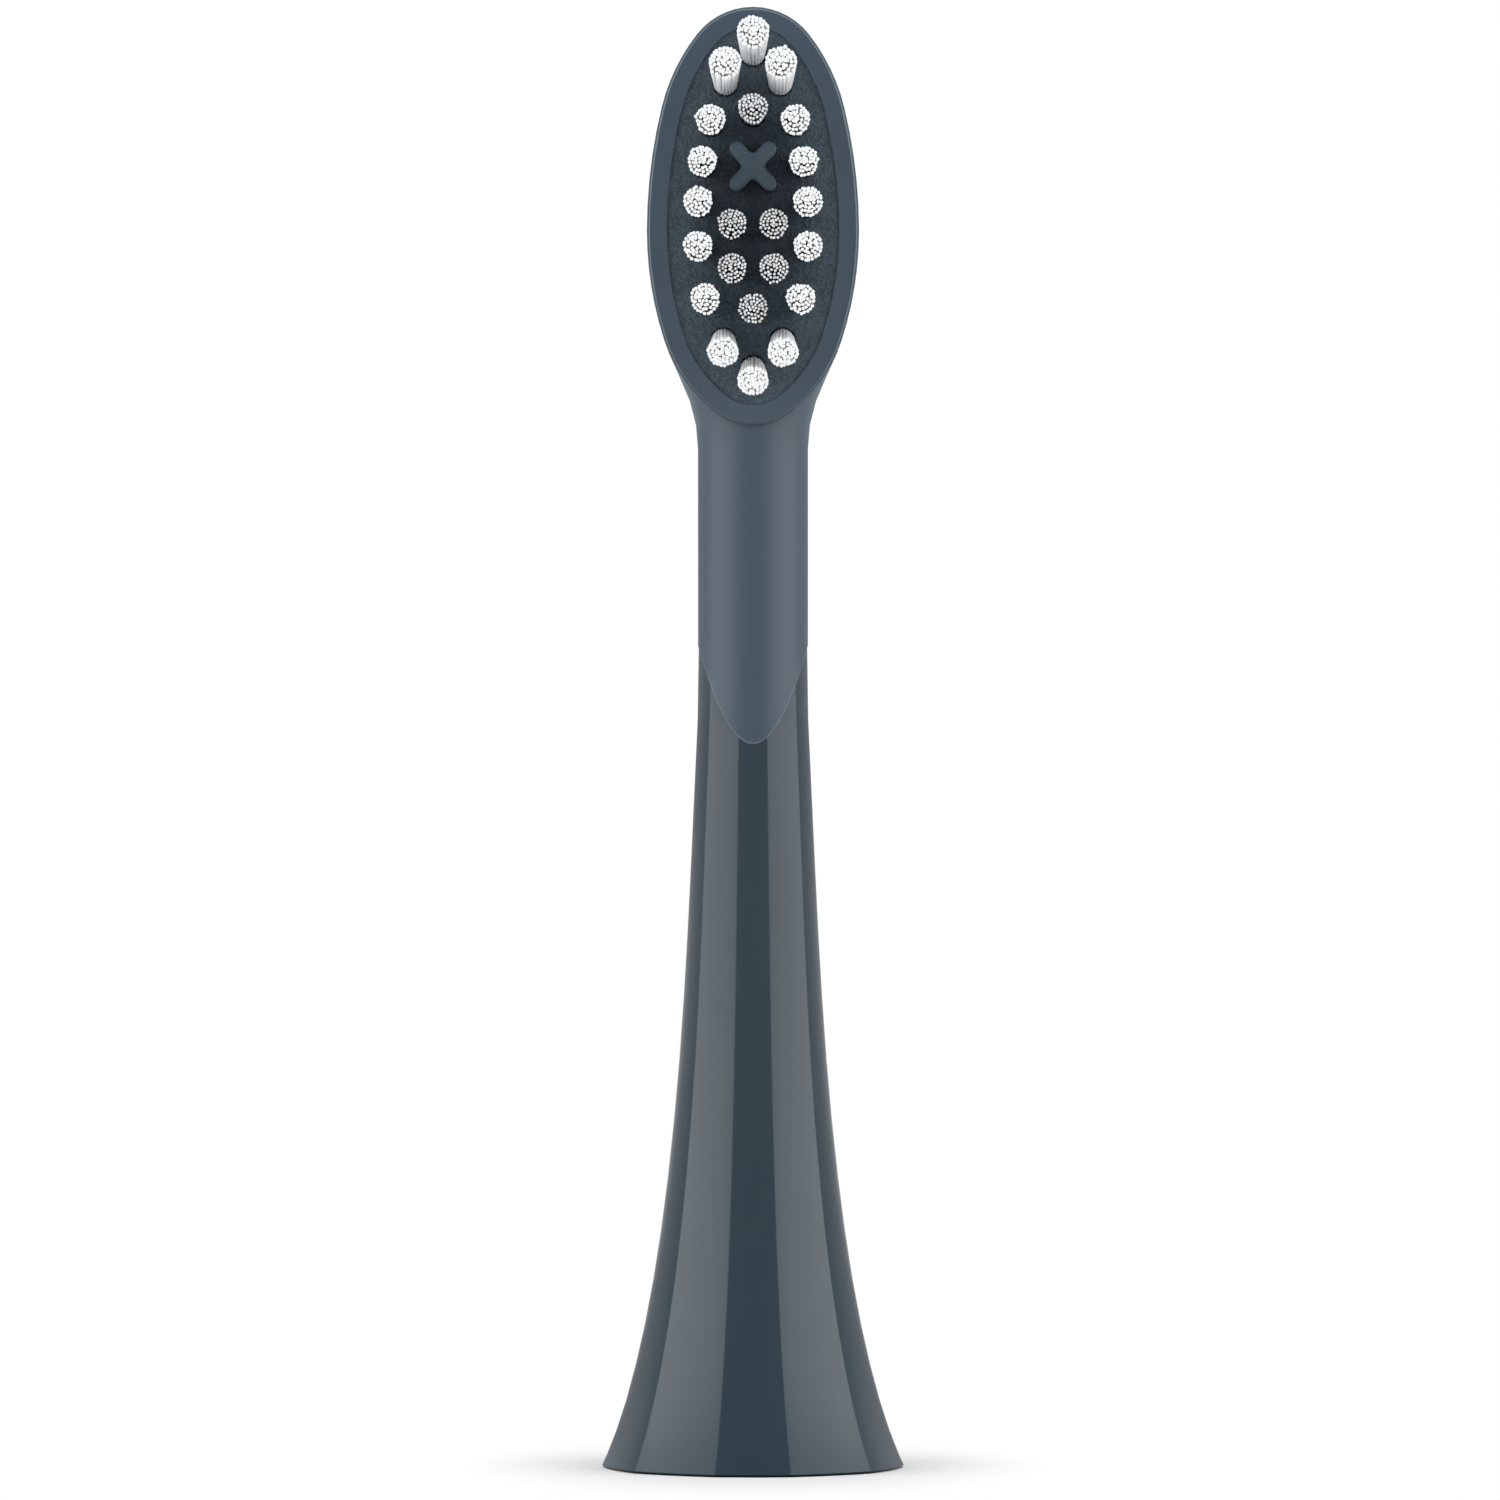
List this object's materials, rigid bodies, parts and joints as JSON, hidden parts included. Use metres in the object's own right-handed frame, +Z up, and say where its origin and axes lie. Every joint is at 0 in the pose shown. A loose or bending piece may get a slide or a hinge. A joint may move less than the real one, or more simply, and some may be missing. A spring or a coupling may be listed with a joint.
{
  "type": "electric toothbrush head",
  "caption": "Push-on electric toothbrush head: faceted flared skirt, slim round neck and an oval face of bristle tufts round a soft polishing cross.",
  "frame": {"origin": "centre of the base rim, on the plane it stands on", "axes": "+Z up the neck to the head, -Y the way the bristles point, +X to the right seen from the bristle side"},
  "size_m": [0.0176, 0.022, 0.0848],
  "materials": {
    "body_plastic": "satin, glossier on the skirt",
    "core_plastic": "natural moulded",
    "spring_steel": "rolled strip",
    "soft_rubber": "matt",
    "anchor_metal": "cut wire",
    "pale_bristle": "drawn nylon filaments",
    "grey_bristle": "drawn nylon filaments"
  },
  "bodies": {
    "root": {"brush_head_body": "body_plastic", "drive_core": "core_plastic", "spring_clip": "spring_steel", "polishing_cross": "soft_rubber", "tuft_anchors": "anchor_metal", "outer_tuft_01": "pale_bristle", "outer_tuft_02": "pale_bristle", "outer_tuft_03": "pale_bristle", "outer_tuft_04": "pale_bristle", "outer_tuft_05": "pale_bristle", "outer_tuft_06": "pale_bristle", "outer_tuft_07": "pale_bristle", "outer_tuft_08": "pale_bristle", "outer_tuft_09": "pale_bristle", "outer_tuft_10": "pale_bristle", "outer_tuft_11": "pale_bristle", "outer_tuft_12": "pale_bristle", "outer_tuft_13": "pale_bristle", "outer_tuft_14": "pale_bristle", "outer_tuft_15": "pale_bristle", "outer_tuft_16": "pale_bristle", "inner_tuft_1": "grey_bristle", "inner_tuft_2": "grey_bristle", "inner_tuft_3": "grey_bristle", "inner_tuft_4": "grey_bristle", "inner_tuft_5": "grey_bristle", "inner_tuft_6": "grey_bristle"}
  },
  "joints": []
}
